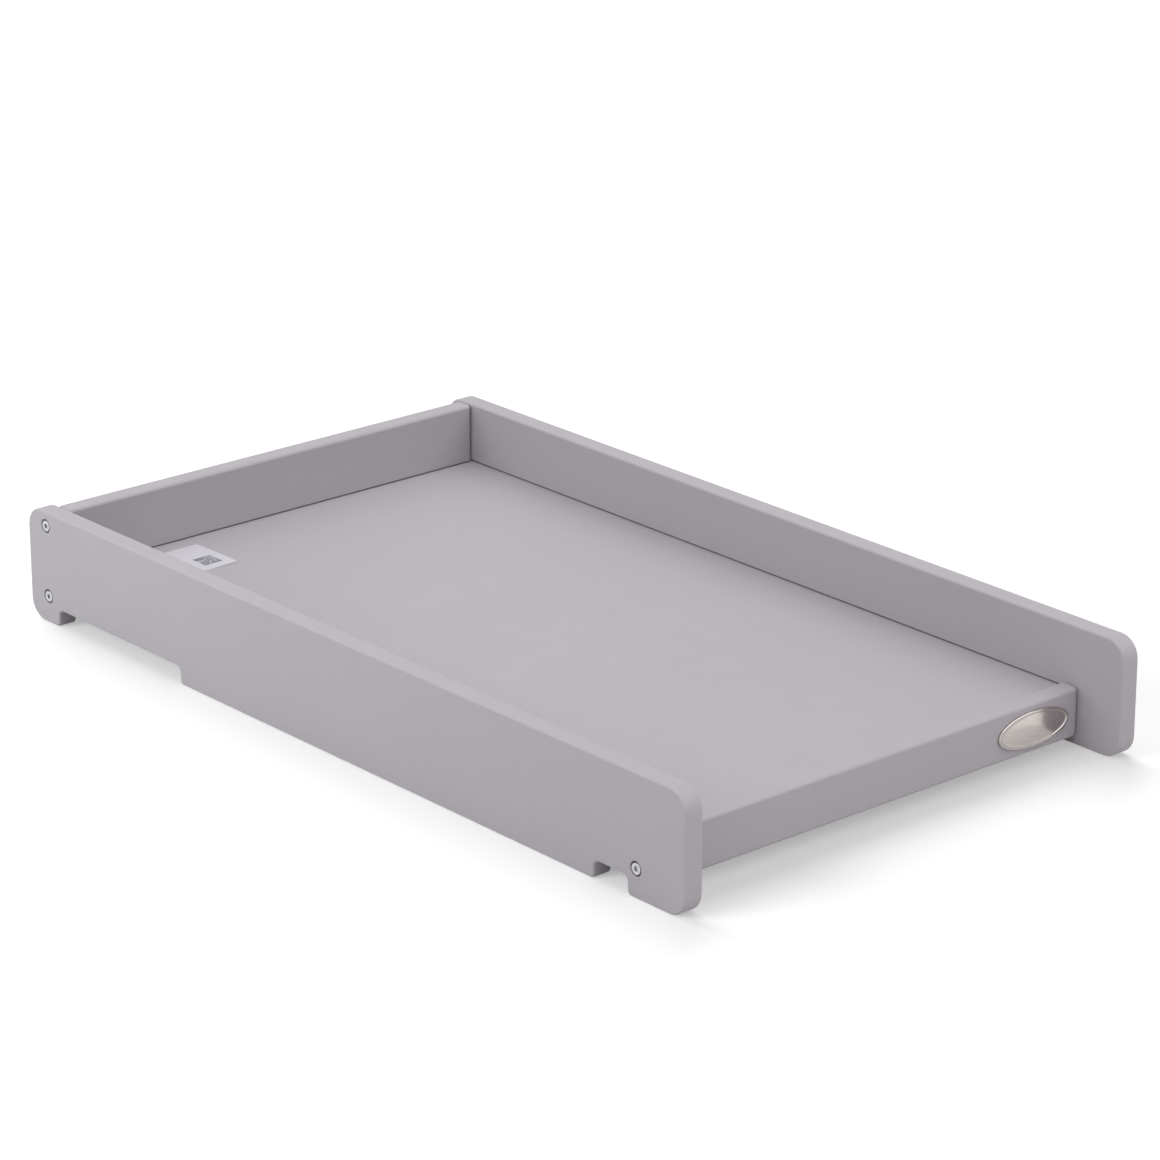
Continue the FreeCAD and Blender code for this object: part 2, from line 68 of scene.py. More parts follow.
# Fineness of the meshes, as steps along one feature.
CORNER_STEPS = 10
EDGE_STEPS = 7
HOLE_STEPS = 48
BOLT_STEPS = 72
SOCKET_SIDES = 6
THREAD_STEPS = 5
BADGE_STEPS = 192
DOME_STEPS = 14
LABEL_RINGS = 12

# A narrow flat margin beside each rounding keeps the shading of the flat faces even.
MARGIN = 0.4 * MM
WELD = 0.002 * MM
SHARP_ANGLE = math.radians(40)

# Rim of a hole that is left as the drill leaves it: a single row, with no easing and no rub.
BARE_RIM = (np.zeros(1), np.zeros(1), np.zeros(1))

# Share of the wood above a groove that its lip may take.
LIP_SHARE = 0.7

# Keeps the round ends of a slot from using up the straight run between them.
SLOT_SLACK = 10 * WELD

# Where u, v and w lie among the two axes across a hole and its depth, for holes along each of them.
ALONG_U = (2, 0, 1)
ALONG_V = (0, 2, 1)
ALONG_W = (0, 1, 2)

# Output of the triangulation that keeps the triangles inside the loops.
INSIDE_ONLY = 1

# Sockets of a Mix node that mixes colours: factor, first and second colour, and the result.
MIX_INPUTS = (0, 6, 7)
MIX_RESULT = 2

WHITE = (1.0, 1.0, 1.0, 1.0)

# Ranges: a whole share, and the parts of a noise's values that are spread over it.
WHOLE = (0.0, 1.0)
MOST = (0.3, 0.7)
MIDDLE = (0.35, 0.65)
PATCHES = (0.35, 0.75)
FLECKS = (0.4, 0.7)

# How far the tones of paint, paper and floor stray from their colours.
PAINT_DRIFT = 0.015
PAPER_DRIFT = 0.1
FLOOR_DRIFT = 0.005

# Share of light specks in the paint, and of primer in its rubbed places.
PAINT_SPECK = 0.12
PAINT_WEAR = (0.02, 0.05)

# Paper between its fibres and on them, and ink in a blank cell and in a printed one.
PAPER_FIBRE = (0.94, 1.0)
CELL_INK = (0.35, 1.0)

# Roughness of the finishes at the two ends of their noise, and what rubbing takes off it.
PAINT_ROUGHNESS = (0.46, 0.56)
STEEL_ROUGHNESS = (0.42, 0.28)
WASHER_ROUGHNESS = (0.60, 0.50)
NICKEL_ROUGHNESS = (0.20, 0.13)
BEECH_ROUGHNESS = (0.55, 0.70)
PAPER_ROUGHNESS = 0.6
PAINT_POLISH = 0.06
NICKEL_POLISH = 0.05

# Share of polish and of painted shade at the foot of the badge's side; its rim is fully polished and fully
# shaded.
FOOT_POLISH_AND_SHADE = 0.5


def length(name, description, millimetres):
    """A length property, written in millimetres and kept in metres."""
    return FloatProperty(name=name, description=description, default=millimetres * MM, min=0.0,
                         precision=5, unit="LENGTH")


def angle(name, description, degrees):
    """An angle property, written in degrees and kept in radians."""
    return FloatProperty(name=name, description=description, default=math.radians(degrees),
                         subtype="ANGLE")


def share(name, description, value):
    """A plain number from nought to one."""
    return FloatProperty(name=name, description=description, default=value, min=0.0, max=1.0,
                         subtype="FACTOR")


def strength(name, description, value):
    """Strength of a far lamp."""
    return FloatProperty(name=name, description=description, default=value, min=0.0)


def place(name, description, millimetres):
    """A point, written in millimetres and kept in metres."""
    return FloatVectorProperty(name=name, description=description, size=3, subtype="XYZ", unit="LENGTH",
                               default=[value * MM for value in millimetres])


def colour(name, description, value):
    """A linear colour."""
    return FloatVectorProperty(name=name, description=description, default=value, size=3,
                               min=0.0, max=1.0, subtype="COLOR")


class ChangerPanels(PropertyGroup):
    """Shape of the side panels."""

    corner_radius: length("Corner radius", "Radius of the outer corners", 18.0)
    edge_radius: length("Edge radius", "Rounding of the edges of both faces", 2.0)
    foot_length: length("Foot length", "Foot at the closed end", 41.5)
    recess_length: length("Recess length", "Long recess beside that foot", 177.5)
    notch_width: length("Notch width", "Notch near the open end", 38.0)
    open_foot_length: length("Open foot length", "Foot at the open end", 64.5)
    seat_depth: length("Seat depth", "Depth of the recess and the notch", 15.5)
    inner_radius: length("Inner radius", "Radius in the upper corners of the cut-outs", 6.0)
    outer_radius: length("Outer radius", "Radius on the lower corners of the cut-outs", 4.0)


class ChangerCrossPieces(PropertyGroup):
    """Shape of the end panel and the open end rail."""

    edge_radius: length("Edge radius", "Rounding of the upper and lower edges", 3.0)
    end_radius: length("End radius", "Rounding of the upright edges of both ends", 5.0)


class ChangerJoints(PropertyGroup):
    """Grooves and holes that join the boards."""

    groove_depth: length("Groove depth", "Depth of the grooves for the base board", 6.0)
    groove_gap: length("Groove gap", "Room in the groove above the base board", 1.0)
    lip_radius: length("Lip radius", "Easing of the grooves' lips", 0.8)
    counterbore: length("Counterbore", "Diameter of the sunk seat of a bolt's head", 12.6)
    bolt_hole: length("Bolt hole", "Diameter of the bolt holes", 7.0)
    bore_web: length("Bore web", "Wood left between a bolt hole and the nut's hole", 0.2)
    nut_hole: length("Nut hole", "Diameter of the holes for the barrel nuts", 10.2)
    dowel_hole: length("Dowel hole", "Diameter of the dowel holes", 6.2)
    dowel_room: length("Dowel room", "Room past the ends of a dowel", 0.8)
    rim_radius: length("Rim radius", "Paint easing round the rims of holes", 0.8)
    base_radius: length("Base radius", "Easing of the base board's edges", 0.8)


class ChangerFittings(PropertyGroup):
    """Shape of the bolts and washers."""

    head_diameter: length("Head diameter", "Diameter of a bolt's head", 10.0)
    head_height: length("Head height", "Height of a bolt's head", 4.0)
    head_chamfer: length("Head chamfer", "Chamfer round the top of the head", 0.4)
    knurl_depth: length("Knurl depth", "Depth of the grip round the head", 0.16)
    socket_width: length("Socket width", "Hexagon socket across its flats", 4.0)
    socket_depth: length("Socket depth", "Depth of the socket's walls", 2.0)
    shank_diameter: length("Shank diameter", "Diameter of a bolt's shank", 6.0)
    thread_pitch: length("Thread pitch", "Pitch of the thread", 1.0)
    thread_depth: length("Thread depth", "Depth of the thread", 0.55)
    thread_length: length("Thread length", "Length of the threaded part", 24.0)
    washer_bore: length("Washer bore", "Bore of a washer", 6.4)
    washer_radius: length("Washer rounding", "Rounding of a stamped washer's edges", 0.35)


class ChangerBadge(PropertyGroup):
    """Shape of the oval badge."""

    rim_width: length("Rim width", "Width of the raised rim", 2.4)
    rim_radius: length("Rim rounding", "Rounding of the rim's edges", 0.6)
    field_depth: length("Field depth", "How far the field lies below the rim", 0.8)
    dome_rise: length("Dome rise", "Rise of the field's low dome", 0.7)


class ChangerLabel(PropertyGroup):
    """Shape and print of the paper label."""

    corner_radius: length("Corner radius", "Radius of the label's corners", 2.0)
    lift: length("Lift", "How far one corner has come away", 0.5)
    patch_size: length("Patch size", "Side of the printed patch", 19.0)
    patch_shift: length("Patch shift", "The patch's place past the label's middle", 10.0)
    patch_cells: IntProperty(name="Cells", description="Small cells along the patch", default=10, min=1)
    patch_blank: share("Blank cells", "Share of the cells that stay blank", 0.3)


class ChangerFinishes(PropertyGroup):
    """Colours of the finishes."""

    paint: colour("Paint", "Satin paint of the boards", (0.459, 0.431, 0.464))
    primer: colour("Primer", "Pale primer that shows through thin paint", (0.78, 0.75, 0.76))
    zinc: colour("Zinc", "Plated steel of the fittings", (0.66, 0.66, 0.67))
    zinc_dull: colour("Dull zinc", "Duller patches of the plating", (0.52, 0.52, 0.54))
    # Not a plating colour: painted shade laid into the sockets of the bolts.
    zinc_deep: colour("Deep zinc", "Thin dark plating down in the sockets", (0.50, 0.50, 0.51))
    nickel: colour("Nickel", "Metal of the badge", (0.64, 0.60, 0.58))
    # Also the painted shade on the badge's rim and at the foot of its side.
    nickel_dull: colour("Dull nickel", "Duller streaks of the badge", (0.53, 0.49, 0.47))
    paper: colour("Paper", "White paper of the label", (0.65, 0.63, 0.685))
    ink: colour("Ink", "Grey print on the label", (0.22, 0.22, 0.24))
    beech: colour("Beech", "Pale wood of the dowels", (0.56, 0.38, 0.22))
    beech_grain: colour("Beech grain", "Darker grain of the dowels", (0.42, 0.26, 0.14))
    floor: colour("Floor", "Pale floor, as it lights the object", (0.67, 0.67, 0.67))
    floor_seen: colour("Floor seen", "Pale floor, as it is seen", (0.74, 0.74, 0.74))


class ChangerStage(PropertyGroup):
    """Floor, light and camera."""

    floor_size: length("Floor size", "Side of the square floor", 24000.0)
    floor_lift: share("Floor lift", "White added to the floor where it is seen", 0.36)
    floor_drop: length("Floor drop", "Gap from the seen floor down to the one that lights the object", 0.5)
    sky: share("Sky", "Strength of the even light from all round", 0.32)
    lamp_spread: angle("Lamp spread", "Angle over which each broad lamp's light is spread", 70.0)
    near: strength("Near lamp", "Strength of the broad lamp before the front panel", 0.82)
    near_lean: angle("Near lean", "How far it leans from overhead", 45.0)
    near_azimuth: angle("Near azimuth", "Its turn round the object, from the front", 0.0)
    rear: strength("Rear lamp", "Strength of the broad lamp behind the open end", 1.50)
    rear_lean: angle("Rear lean", "How far it leans from overhead", 30.0)
    rear_azimuth: angle("Rear azimuth", "Its turn round the object, from the front", 120.0)
    far: strength("Far lamp", "Strength of the broad lamp beyond the closed end", 0.25)
    far_lean: angle("Far lean", "How far it leans from overhead", 45.0)
    far_azimuth: angle("Far azimuth", "Its turn round the object, from the front", -90.0)
    side: strength("Side floor lamp", "Strength of the lamp beyond the closed end, for the floor alone", 2.7)
    side_spread: angle("Side spread", "Angle over which its light is spread", 60.0)
    side_lean: angle("Side lean", "How far it leans from overhead", 55.0)
    side_azimuth: angle("Side azimuth", "Its turn round the object, from the front", -110.0)
    front: strength("Front floor lamp", "Strength of the lamp before the front, for the floor alone", 2.2)
    front_spread: angle("Front spread", "Angle over which its light is spread", 40.0)
    front_lean: angle("Front lean", "How far it leans from overhead", 70.0)
    front_azimuth: angle("Front azimuth", "Its turn round the object, from the front", -20.0)
    fill: FloatProperty(name="Fill", description="Power of the soft box before the front panel",
                        default=3.0, min=0.0, unit="POWER")
    fill_colour: colour("Fill colour", "Colour of the soft box, a little cool", (0.93, 1.0, 1.0))
    fill_size: length("Fill size", "Side of the square soft box", 700.0)
    fill_place: place("Fill place", "Middle of the soft box", (-550.0, -1150.0, 400.0))
    fill_aim: place("Fill aim", "Point that the soft box faces", (-150.0, -244.0, 50.0))
    view_azimuth: angle("View azimuth", "Camera's turn round the object", 49.176)
    view_elevation: angle("View elevation", "Camera's height above the horizon", 20.227)
    view_distance: length("View distance", "Camera's distance from its aim", 3972.0)
    view_aim: place("View aim", "Point that the camera looks at", (-177.9, 174.8, 0.1))
    lens: FloatProperty(name="Lens", description="Focal length", default=138.15, unit="CAMERA")


GROUPS = {
    "changer_panels": ChangerPanels,
    "changer_cross_pieces": ChangerCrossPieces,
    "changer_joints": ChangerJoints,
    "changer_fittings": ChangerFittings,
    "changer_badge": ChangerBadge,
    "changer_label": ChangerLabel,
    "changer_finishes": ChangerFinishes,
    "changer_stage": ChangerStage,
}


def unit(vectors):
    """Rows of an array brought to length one."""
    return vectors / np.linalg.norm(vectors, axis=-1, keepdims=True)


def rounded_path(corners):
    """Closed outline, anticlockwise, whose corners are arcs.

    Each row of corners is x, y and a radius. An arc touches both runs at radius times the tangent of
    half the turn from the corner, its centre lies one radius to the side that the outline turns to,
    and the outward normal swings evenly from the first run's to the second's. Returns the points and
    the normals with a row of points for each corner.
    """
    corners = np.array(corners, float)
    spots = corners[:, :2]
    radius = corners[:, 2:]
    way_in = unit(spots - np.roll(spots, 1, axis=0))
    way_out = np.roll(way_in, -1, axis=0)
    left = np.stack([-way_in[:, 1], way_in[:, 0]], axis=1)
    turn = np.arctan2((left * way_out).sum(1), (way_in * way_out).sum(1))[:, None]
    bend = np.sign(turn) * radius
    centre = spots - way_in * radius * np.tan(np.abs(turn) / 2) + left * bend
    swing = np.arctan2(-left[:, 1], -left[:, 0])[:, None] + turn * np.linspace(0, 1, CORNER_STEPS + 1)
    normals = np.stack([np.cos(swing), np.sin(swing)], axis=-1)
    return centre[:, None] + bend[:, None] * normals, normals


def rectangle(left, low, right, high, radius):
    """Corners of a rectangle for a rounded path, all with one radius."""
    return [(left, low, radius), (right, low, radius), (right, high, radius), (left, high, radius)]


def loop_of(path):
    """A path's points and normals as one row each."""
    return [part.reshape(-1, 2) for part in path]


def full_turn(steps):
    """Angles of so many even steps once round."""
    return np.linspace(0, 2 * np.pi, steps, endpoint=False)


def circle_path(x, y, diameter):
    """Circle about x and y: the normal is (cos turn, sin turn), the point a radius along it."""
    turn = full_turn(HOLE_STEPS)
    normals = np.stack([np.cos(turn), np.sin(turn)], axis=1)
    return np.array([x, y]) + normals * diameter / 2, normals


def eased_edge(radius, margin=MARGIN):
    """Profile over a rounded edge, from a face to the wall beside it.

    A quarter circle: aside = radius * (1 - sin turn) is the way to the wall, down = radius *
    (1 - cos turn) the way below the face, and rub = sin(2 * turn) is greatest on the middle of the
    edge. A flat margin stands at both ends.
    """
    turn = np.linspace(0, np.pi / 2, EDGE_STEPS + 1)
    aside = np.concatenate([[radius + margin], radius * (1 - np.sin(turn)), [0]])
    down = np.concatenate([[0], radius * (1 - np.cos(turn)), [radius + margin]])
    wear_and_shade = np.concatenate([[0], np.sin(2 * turn), [0]])
    return aside, down, wear_and_shade


def carried(path, spread, level):
    """Profile carried round a path: spread moves each point along its normal, level lifts it."""
    points, normals = path
    rings = points[None] + spread[:, None, None] * normals[None]
    lifted = np.broadcast_to(level[:, None, None], rings.shape[:2] + (1,))
    return np.concatenate([rings, lifted], axis=2)


def grid_faces(rows, columns):
    """Quads of a grid whose last column joins the first."""
    index = np.arange(rows * columns).reshape(rows, columns)
    index = np.hstack([index, index[:, :1]])
    corners = [index[:-1, :-1], index[:-1, 1:], index[1:, 1:], index[1:, :-1]]
    return np.stack(corners, axis=-1).reshape(-1, 4)


class Skin:
    """Surfaces of one closed piece, gathered as arrays and welded into one mesh.

    to_frame is a function from the piece's own axes, an array of (u, v, w) rows, to the frame. Each
    point carries one number: how worn the paint is there, how polished a rim is and how much painted
    shade the badge's rim takes, or one inside a socket, where it paints shade.
    """

    def __init__(self, to_frame):
        self.to_frame = to_frame
        self.points = []
        self.wear_and_shade = []
        self.faces = []
        self.total = 0

    def add(self, points, faces, wear_and_shade):
        """Adds a block of points with its faces and its wear and painted shade."""
        self.points.append(points)
        self.wear_and_shade.append(np.broadcast_to(wear_and_shade, len(points)))
        self.faces += (np.asarray(faces) + self.total).tolist()
        self.total += len(points)

    def band(self, rings, wear_and_shade=None, keep=None):
        """Adds a grid of closed rings; the wear and painted shade has a value for each ring, keep a yes or
        no for each quad.
        """
        rows, columns = rings.shape[:2]
        worn_and_shaded = np.zeros(rows) if wear_and_shade is None else wear_and_shade
        quads = grid_faces(rows, columns)
        if keep is not None:
            quads = quads[keep.ravel()]
        self.add(rings.reshape(-1, 3), quads, np.repeat(worn_and_shaded, columns))

    def flat(self, outer, holes, lift):
        """Adds a flat face inside a loop, less the convex loops of its holes.

        The loops become the fixed edges of a Delaunay triangulation. A triangle whose three corners
        all lie on one hole is inside that hole and is dropped. lift maps the flat points to (u, v, w).
        """
        apart = np.abs(outer - np.roll(outer, 1, axis=0)).max(axis=1) > WELD
        loops = [outer[apart], *holes]
        counts = np.array([len(loop) for loop in loops])
        owner = np.repeat(np.arange(len(loops)), counts)
        index = np.arange(counts.sum())
        start = np.repeat(np.cumsum(counts) - counts, counts)
        after = start + (index - start + 1) % np.repeat(counts, counts)
        points = np.concatenate(loops)
        edges = np.stack([index, after], 1).tolist()
        _, _, found, origins, *_ = delaunay_2d_cdt([Vector(p) for p in points / MM], edges, [],
                                                   INSIDE_ONLY, WELD)
        source = np.array([origin[0] for origin in origins])
        triangles = source[np.array(found)]
        inside = owner[triangles]
        in_hole = (inside[:, 0] > 0) & (inside[:, 0] == inside[:, 1]) & (inside[:, 1] == inside[:, 2])
        self.add(lift(points), triangles[~in_hole], 0.0)

    def sink(self, path, rim, face, floor, order=ALONG_W):
        """Adds a blind hole: its path carried over an eased rim from a face's level to the hole's floor.

        order gives the place of u, v and w among the path's two axes and the depth. Returns the rim.
        """
        aside, down, wear_and_shade = rim
        way = np.sign(floor - face)
        rings = carried(path, np.append(aside, 0), np.append(face + way * down, floor))
        self.band(rings[:, :, order], np.append(wear_and_shade, 0))
        self.flat(rings[-1, :, :2], [], at_level(floor, order))
        return rings[0, :, :2]

    def board_edge(self, outline, thick, radius):
        """Adds a board's edge: its outline carried over the eased edges of both faces.

        Returns the loop in which both flat faces end.
        """
        aside, down, wear_and_shade = eased_edge(radius)
        rings = carried(outline, -np.concatenate([aside, aside[::-1]]),
                        np.concatenate([down, thick - down[::-1]]))
        self.band(rings, np.concatenate([wear_and_shade, wear_and_shade[::-1]]))
        return rings[0, :, :2]

    def mesh(self, name):
        """Welds the surfaces, turns the faces outwards and shades all but the sharp edges smooth."""
        points = self.to_frame(np.concatenate(self.points))
        mesh = bpy.data.meshes.new(name)
        mesh.from_pydata(points.tolist(), [], self.faces)
        wear_and_shade = mesh.attributes.new("wear_and_shade", "FLOAT", "POINT")
        wear_and_shade.data.foreach_set("value", np.concatenate(self.wear_and_shade).astype(np.float32))
        shell = bmesh.new()
        shell.from_mesh(mesh)
        bmesh.ops.remove_doubles(shell, verts=shell.verts, dist=WELD)
        bmesh.ops.recalc_face_normals(shell, faces=shell.faces)
        shell.to_mesh(mesh)
        shell.free()
        mesh.shade_smooth()
        mesh.set_sharp_from_angle(angle=SHARP_ANGLE)
        return mesh


def at_level(level, order=ALONG_W):
    """Lifts flat points to one level and puts their axes in that order."""
    return lambda points: np.column_stack([points, np.full(len(points), level)])[:, order]


def finish_piece(finish, node, mesh, material):
    """Makes a mesh the piece that stands for a CAD node, at the origin and on the one body."""
    piece = bpy.data.objects.new(f"{finish}_{node}", mesh)
    bpy.context.scene.collection.objects.link(piece)
    mesh.materials.append(material)
    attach(piece, BODY)
    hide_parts(node)


def dress_node(node, material):
    """Gives a CAD node that stays in view its finish."""
    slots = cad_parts[node].data.materials
    slots.clear()
    slots.append(material)


def middle(node):
    """Middle of a CAD node's box."""
    low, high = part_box(node)
    return (np.array(low) + np.array(high)) / 2


def set_inputs(tree, node, **inputs):
    """Sets or links a node's sockets, which are named with _ for a space."""
    for name, value in inputs.items():
        connect(tree, node.inputs[name.replace("_", " ")], value)


def add_node(tree, kind, **inputs):
    """A shader node with its sockets set or linked."""
    node = tree.nodes.new("ShaderNode" + kind)
    set_inputs(tree, node, **inputs)
    return node


def connect(tree, socket, value):
    """Links a socket to another node's socket, or sets it."""
    if isinstance(value, bpy.types.NodeSocket):
        tree.links.new(value, socket)
    else:
        socket.default_value = value


def noise(tree, coords, cells, detail=2.0):
    """Value of a noise with so many cells to the metre."""
    node = add_node(tree, "TexNoise", Vector=coords, Scale=cells, Detail=detail)
    return node.outputs["Fac"]


def spread_to(tree, value, old, new):
    """A value in the old range brought to the new one; a range is the two numbers at its ends."""
    node = add_node(tree, "MapRange", Value=value, From_Min=old[0], From_Max=old[1],
                    To_Min=new[0], To_Max=new[1])
    return node.outputs["Result"]


def math_of(tree, operation, first, second):
    """Result of an arithmetic node."""
    node = tree.nodes.new("ShaderNodeMath")
    node.operation = operation
    connect(tree, node.inputs[0], first)
    connect(tree, node.inputs[1], second)
    return node.outputs[0]


def mixed(tree, factor, first, second):
    """Colour between two colours."""
    node = tree.nodes.new("ShaderNodeMix")
    node.data_type = "RGBA"
    for index, value in zip(MIX_INPUTS, (factor, first, second)):
        if not isinstance(value, (float, bpy.types.NodeSocket)):
            value = (*value, 1.0)
        connect(tree, node.inputs[index], value)
    return node.outputs[MIX_RESULT]


def bumped(tree, height, distance, amount, below=None):
    """Normal of a surface with that height over it, on top of another bump."""
    node = add_node(tree, "Bump", Height=height, Distance=distance, Strength=amount)
    if below is not None:
        tree.links.new(below, node.inputs["Normal"])
    return node.outputs["Normal"]


def new_material(name):
    """A material with its tree, its shader and its Object coordinates."""
    material = bpy.data.materials.new(name)
    material.use_nodes = True
    tree = material.node_tree
    coords = tree.nodes.new("ShaderNodeTexCoord").outputs["Object"]
    return material, tree, tree.nodes["Principled BSDF"], coords


def stretched(tree, coords, scale, centre=(0.0, 0.0, 0.0)):
    """Coordinates centred at a point and stretched along the axes."""
    node = add_node(tree, "Mapping", Vector=coords, Location=centre, Scale=scale)
    node.vector_type = "TEXTURE"
    return node.outputs["Vector"]


def rub_of(tree):
    """The wear, polish and painted shade that the piece's points carry."""
    node = tree.nodes.new("ShaderNodeAttribute")
    node.attribute_name = "wear_and_shade"
    return node.outputs["Fac"]


def scaled(tint, factor):
    """A colour made lighter or darker."""
    return tuple(factor * part for part in tint)


def satin_paint(finishes):
    """Sprayed satin paint: slow drift of tone, fine orange peel, primer showing where it is rubbed thin."""
    material, tree, shader, coords = new_material("satin_paint")
    drift = spread_to(tree, noise(tree, coords, cells=3.0), MOST, WHOLE)
    grain = spread_to(tree, noise(tree, coords, cells=420.0), MOST, WHOLE)
    light = scaled(finishes.paint, 1.0 + PAINT_DRIFT)
    dark = scaled(finishes.paint, 1.0 - PAINT_DRIFT)
    tone = mixed(tree, drift, dark, light)
    speck = mixed(tree, math_of(tree, "MULTIPLY", grain, PAINT_SPECK), tone, light)
    patchy = spread_to(tree, noise(tree, coords, cells=24.0, detail=4.0), PATCHES, PAINT_WEAR)
    worn_and_shaded = math_of(tree, "MULTIPLY", rub_of(tree), patchy)
    satin = spread_to(tree, noise(tree, coords, cells=30.0, detail=3.0), MOST, PAINT_ROUGHNESS)
    polish = math_of(tree, "MULTIPLY", worn_and_shaded, PAINT_POLISH)
    flow = bumped(tree, noise(tree, coords, cells=70.0), distance=0.3 * MM, amount=0.10)
    peel = bumped(tree, noise(tree, coords, cells=650.0, detail=3.0), distance=0.05 * MM, amount=0.35,
                  below=flow)
    set_inputs(tree, shader, Base_Color=mixed(tree, worn_and_shaded, speck, finishes.primer),
               Roughness=math_of(tree, "SUBTRACT", satin, polish), Normal=peel, Specular_IOR_Level=0.3)
    return material


def plated_steel(finishes):
    """Zinc plating: cloudy bright and dull patches over fine scratches, with painted shade inside a socket.
    """
    material, tree, shader, coords = new_material("plated_steel")
    cloud = spread_to(tree, noise(tree, coords, cells=320.0, detail=4.0), MIDDLE, WHOLE)
    plate = mixed(tree, cloud, finishes.zinc_dull, finishes.zinc)
    scratch = noise(tree, stretched(tree, coords, scale=(6.0, 1.0, 1.0)), cells=2600.0)
    # Points inside a socket are marked with one and take the darker zinc: painted shade.
    set_inputs(tree, shader, Base_Color=mixed(tree, rub_of(tree), plate, finishes.zinc_deep),
               Roughness=spread_to(tree, cloud, WHOLE, STEEL_ROUGHNESS),
               Normal=bumped(tree, scratch, distance=0.02 * MM, amount=0.3), Metallic=1.0)
    return material


def dull_zinc(finishes):
    """Washer finish: matt zinc with a fine grain."""
    material, tree, shader, coords = new_material("dull_zinc")
    grain = spread_to(tree, noise(tree, coords, cells=900.0, detail=3.0), MIDDLE, WHOLE)
    set_inputs(tree, shader, Base_Color=mixed(tree, grain, finishes.zinc_dull, finishes.zinc),
               Roughness=spread_to(tree, grain, WHOLE, WASHER_ROUGHNESS),
               Normal=bumped(tree, grain, distance=0.02 * MM, amount=0.3), Metallic=0.35)
    return material


def brushed_nickel(finishes):
    """Badge metal: streaks along the oval's length; the rim is polished and darkened with painted shade, the
    foot of its side half as much.
    """
    material, tree, shader, coords = new_material("brushed_nickel")
    streak = noise(tree, stretched(tree, coords, scale=(1.0, 24.0, 1.0)), cells=2400.0, detail=3.0)
    even = spread_to(tree, streak, MOST, WHOLE)
    wear_and_shade = rub_of(tree)
    brushed = mixed(tree, even, finishes.nickel_dull, finishes.nickel)
    satin = spread_to(tree, even, WHOLE, NICKEL_ROUGHNESS)
    polish = math_of(tree, "MULTIPLY", wear_and_shade, NICKEL_POLISH)
    # The rim and the foot take the darker nickel: painted shade.
    set_inputs(tree, shader, Base_Color=mixed(tree, wear_and_shade, brushed, finishes.nickel_dull),
               Roughness=math_of(tree, "SUBTRACT", satin, polish),
               Normal=bumped(tree, streak, distance=0.01 * MM, amount=0.25), Metallic=1.0)
    return material


def printed_paper(finishes, label, centre):
    """White paper with fine fibres and one printed patch of small random cells."""
    material, tree, shader, coords = new_material("printed_paper")
    drawn_out = stretched(tree, coords, scale=(3.0, 1.0, 1.0))
    fibre = spread_to(tree, noise(tree, drawn_out, cells=900.0, detail=4.0), MOST, PAPER_FIBRE)
    patch = stretched(tree, coords, (label.patch_size / 2,) * 3,
                      (centre[0] + label.patch_shift, centre[1], centre[2]))
    parts = add_node(tree, "SeparateXYZ", Vector=patch)
    across = [math_of(tree, "LESS_THAN", math_of(tree, "ABSOLUTE", parts.outputs[axis], 0.0), 1.0)
              for axis in ("X", "Y")]
    inside = math_of(tree, "MULTIPLY", across[0], across[1])
    cell = tree.nodes.new("ShaderNodeVectorMath")
    cell.operation = "FLOOR"
    connect(tree, cell.inputs[0], stretched(tree, coords, (label.patch_size / label.patch_cells,) * 3))
    chance = add_node(tree, "TexWhiteNoise", Vector=cell.outputs[0]).outputs["Value"]
    printed = math_of(tree, "GREATER_THAN", chance, label.patch_blank)
    inked = math_of(tree, "MULTIPLY", inside, spread_to(tree, printed, WHOLE, CELL_INK))
    white = mixed(tree, fibre, scaled(finishes.paper, 1.0 - PAPER_DRIFT), finishes.paper)
    set_inputs(tree, shader, Base_Color=mixed(tree, inked, white, finishes.ink),
               Normal=bumped(tree, fibre, distance=0.02 * MM, amount=0.2), Roughness=PAPER_ROUGHNESS)
    return material


def beech_wood(finishes):
    """Turned beech: short darker flecks drawn out along the dowel."""
    material, tree, shader, coords = new_material("beech_wood")
    fleck = noise(tree, stretched(tree, coords, scale=(1.0, 12.0, 1.0)), cells=1400.0, detail=4.0)
    grain = spread_to(tree, fleck, FLECKS, WHOLE)
    set_inputs(tree, shader, Base_Color=mixed(tree, grain, finishes.beech, finishes.beech_grain),
               Roughness=spread_to(tree, grain, WHOLE, BEECH_ROUGHNESS),
               Normal=bumped(tree, fleck, distance=0.05 * MM, amount=0.3))
    return material


def shared_material(make, finishes):
    """The material that a function makes under its own name, made once."""
    return bpy.data.materials.get(make.__name__) or make(finishes)


def groove_levels(joints):
    """Lower and upper edge of the grooves: the base board's underside, and its top with room above."""
    low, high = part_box("base_board")
    return low.z, high.z + joints.groove_gap


def panel_outline(low, high, sizes):
    """Corners of a side panel seen from the front: feet, recess and notch along the lower edge."""
    recess = low.x + sizes.foot_length
    step = recess + sizes.recess_length
    notch_end = high.x - sizes.open_foot_length
    notch = notch_end - sizes.notch_width
    seat = low.z + sizes.seat_depth
    inner, outer, corner = sizes.inner_radius, sizes.outer_radius, sizes.corner_radius
    return [
        (low.x, low.z, corner),
        (recess, low.z, outer), (recess, seat, inner), (step, seat, inner), (step, low.z, outer),
        (notch, low.z, outer), (notch, seat, inner), (notch_end, seat, inner), (notch_end, low.z, outer),
        (high.x, low.z, corner), (high.x, high.z, corner), (low.x, high.z, corner),
    ]


